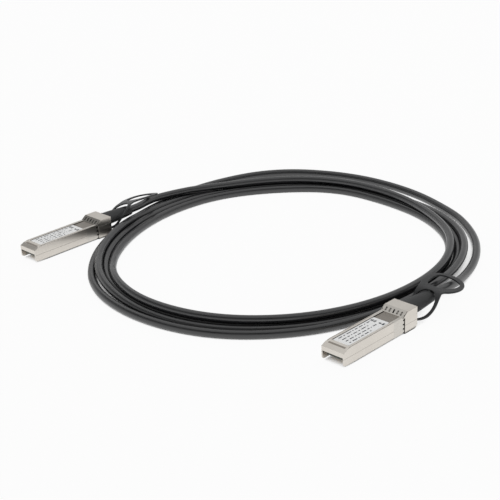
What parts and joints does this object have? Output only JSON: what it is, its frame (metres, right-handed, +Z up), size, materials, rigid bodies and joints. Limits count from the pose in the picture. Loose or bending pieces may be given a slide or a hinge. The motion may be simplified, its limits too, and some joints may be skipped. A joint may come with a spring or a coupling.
{
  "type": "direct attach copper cable",
  "caption": "Network cable with a small pluggable metal connector, black boot and pull tab at each end, the round black cable lying in a loose flat coil.",
  "frame": {"origin": "on the surface it lies on, midway between the outermost faces of the two connectors with their pull tabs, the cable apart", "axes": "+X across from connector a to connector b, +Y from the connectors' noses to their cable ends, +Z up"},
  "size_m": [0.2284, 0.2321, 0.014],
  "materials": {
    "die_cast_shell": "satin nickel plating",
    "sheet_steel": "satin",
    "white_label": "semi-gloss",
    "circuit_board": "solder mask",
    "gold_contact": "bright gold plating",
    "chip_plastic": "matte",
    "glue": "satin",
    "wire_insulation": "satin",
    "cable_jacket": "satin black",
    "boot_rubber": "satin dark grey",
    "screw_steel": "satin",
    "tab_plastic": "satin black"
  },
  "bodies": {
    "assembly": {"lower_shell_a": "die_cast_shell", "upper_shell_a": "die_cast_shell", "emi_gasket_a": "sheet_steel", "label_a": "white_label", "paddle_card_a": "circuit_board", "edge_contacts_a": "gold_contact", "memory_chip_a": "chip_plastic", "potting_block_a": "glue", "tx_pair_a": "wire_insulation", "rx_pair_a": "wire_insulation", "crimp_ferrule_a": "sheet_steel", "cable_entry_a": "cable_jacket", "strain_relief_boot_a": "boot_rubber", "latch_pin_a": "sheet_steel", "latch_spring_a": "sheet_steel", "shell_screws_a": "screw_steel", "lower_shell_b": "die_cast_shell", "upper_shell_b": "die_cast_shell", "emi_gasket_b": "sheet_steel", "label_b": "white_label", "paddle_card_b": "circuit_board", "edge_contacts_b": "gold_contact", "memory_chip_b": "chip_plastic", "potting_block_b": "glue", "tx_pair_b": "wire_insulation", "rx_pair_b": "wire_insulation", "crimp_ferrule_b": "sheet_steel", "cable_entry_b": "cable_jacket", "strain_relief_boot_b": "boot_rubber", "latch_pin_b": "sheet_steel", "latch_spring_b": "sheet_steel", "shell_screws_b": "screw_steel", "cable_lead_a": "cable_jacket", "cable_lead_b": "cable_jacket", "cable_coil": "cable_jacket"},
    "release_a": {"release_slider_a": "sheet_steel", "pull_tab_a": "tab_plastic"},
    "latch_a": {"latch_rocker_a": "sheet_steel"},
    "release_b": {"release_slider_b": "sheet_steel", "pull_tab_b": "tab_plastic"},
    "latch_b": {"latch_rocker_b": "sheet_steel"}
  },
  "joints": [
    {"name": "tab_pull_a", "type": "slide", "parent": "assembly", "child": "release_a", "axis": [0, 1, 0], "range_m": [0, 0.0025], "stiffness_N_per_m": 400},
    {"name": "latch_lift_a", "type": "hinge", "parent": "assembly", "child": "latch_a", "pos_m": [-0.1048, -0.01525, 0.0017], "axis": [-1, 0, 0], "range_deg": [0, 6], "stiffness_Nm_per_rad": 0.02, "deforming": ["latch_spring_a"]},
    {"name": "tab_pull_b", "type": "slide", "parent": "assembly", "child": "release_b", "axis": [0, 1, 0], "range_m": [0, 0.0025], "stiffness_N_per_m": 400},
    {"name": "latch_lift_b", "type": "hinge", "parent": "assembly", "child": "latch_b", "pos_m": [0.1048, 0.00225, 0.0017], "axis": [-1, 0, 0], "range_deg": [0, 6], "stiffness_Nm_per_rad": 0.02, "deforming": ["latch_spring_b"]}
  ],
  "couplings": [
    {"joint": "latch_lift_a", "follows": "tab_pull_a", "rad_per_m": 41.8},
    {"joint": "latch_lift_b", "follows": "tab_pull_b", "rad_per_m": 41.8}
  ]
}
